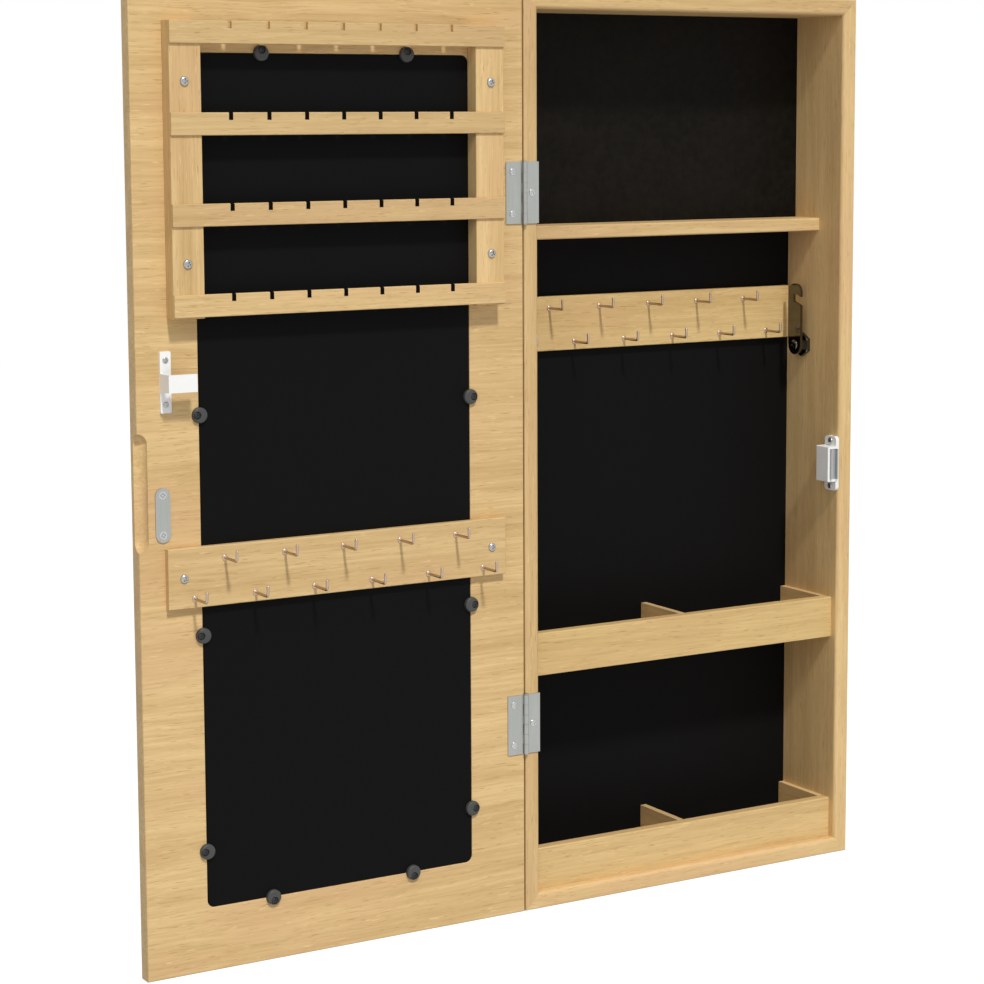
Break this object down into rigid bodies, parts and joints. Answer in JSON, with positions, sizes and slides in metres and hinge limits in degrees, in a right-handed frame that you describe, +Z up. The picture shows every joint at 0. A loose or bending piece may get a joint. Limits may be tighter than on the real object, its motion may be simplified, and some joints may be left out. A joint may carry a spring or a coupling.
{
  "type": "jewellery mirror cabinet",
  "caption": "Wall-hung oak jewellery cabinet with a hinged mirror door, earring rack, necklace hooks, shelf, divided trays, magnetic catch and cam lock, stored wide open.",
  "frame": {"origin": "middle of the cabinet's flat back face, where it rests on the wall", "axes": "+Z up, -Y out of the wall towards the room, +X to the right seen from the room; the door is hinged on the left and stored swung open by a half turn"},
  "size_m": [0.603, 0.095, 0.67],
  "materials": {
    "oak": "light oak, satin lacquer",
    "beech_dowel": "raw beech",
    "black_board": "matt black lining",
    "dark_board": "matt brown-black lining",
    "mirror_silver": "silvered glass",
    "satin_steel": "satin zinc plate",
    "bright_zinc": "bright zinc plate",
    "hook_nickel": "nickel plate",
    "white_plastic": "white, semi-gloss",
    "ferrite": "sintered ferrite",
    "dark_chrome": "polished dark nickel",
    "black_plastic": "moulded charcoal",
    "black_screw": "black oxide"
  },
  "bodies": {
    "cabinet": {"side_left": "oak", "side_right": "oak", "top_panel": "oak", "bottom_panel": "oak", "shelf": "oak", "cabinet_hook_board": "oak", "middle_tray_floor": "oak", "middle_tray_front": "oak", "middle_tray_divider": "oak", "middle_tray_liner_left": "oak", "middle_tray_liner_right": "oak", "lower_tray_front": "oak", "lower_tray_divider": "oak", "lower_tray_liner_left": "oak", "lower_tray_liner_right": "oak", "shelf_dowels": "beech_dowel", "tray_dowels": "beech_dowel", "back_panel": "black_board", "top_backing": "dark_board", "upper_hinge_frame_leaf": "satin_steel", "lower_hinge_frame_leaf": "satin_steel", "hinge_pins": "satin_steel", "hanger_plates": "satin_steel", "catch_poles": "satin_steel", "hinge_frame_screws": "bright_zinc", "catch_screws": "bright_zinc", "hanger_screws": "bright_zinc", "back_brads": "bright_zinc", "cabinet_hooks": "hook_nickel", "catch_housing": "white_plastic", "catch_magnet": "ferrite", "lock_barrel": "dark_chrome", "lock_nut": "dark_chrome"},
    "door": {"door_panel": "oak", "mirror_glass": "mirror_silver", "mirror_backing": "black_board", "mirror_clips": "black_plastic", "clip_screws": "black_screw", "rack_stile_left": "oak", "rack_stile_right": "oak", "rack_rail_1": "oak", "rack_rail_2": "oak", "rack_rail_3": "oak", "rack_rail_4": "oak", "rack_screws": "bright_zinc", "door_hook_board": "oak", "door_hooks": "hook_nickel", "hook_board_screws": "bright_zinc", "upper_hinge_door_leaf": "satin_steel", "lower_hinge_door_leaf": "satin_steel", "hinge_door_screws": "bright_zinc", "catch_plate": "satin_steel", "catch_plate_screws": "bright_zinc", "lock_strike": "white_plastic", "strike_screws": "bright_zinc"},
    "lock_rotor": {"lock_plug": "dark_chrome", "lock_cam": "dark_chrome", "cam_screw": "dark_chrome"}
  },
  "joints": [
    {"name": "door_hinge", "type": "hinge", "parent": "cabinet", "child": "door", "pos_m": [-0.1505, -0.0715, 0], "axis": [0, 0, 1], "range_deg": [0, 180]},
    {"name": "lock_turn", "type": "hinge", "parent": "cabinet", "child": "lock_rotor", "pos_m": [0.14, -0.024, 0.0676], "axis": [1, 0, 0], "range_deg": [0, 70]}
  ]
}
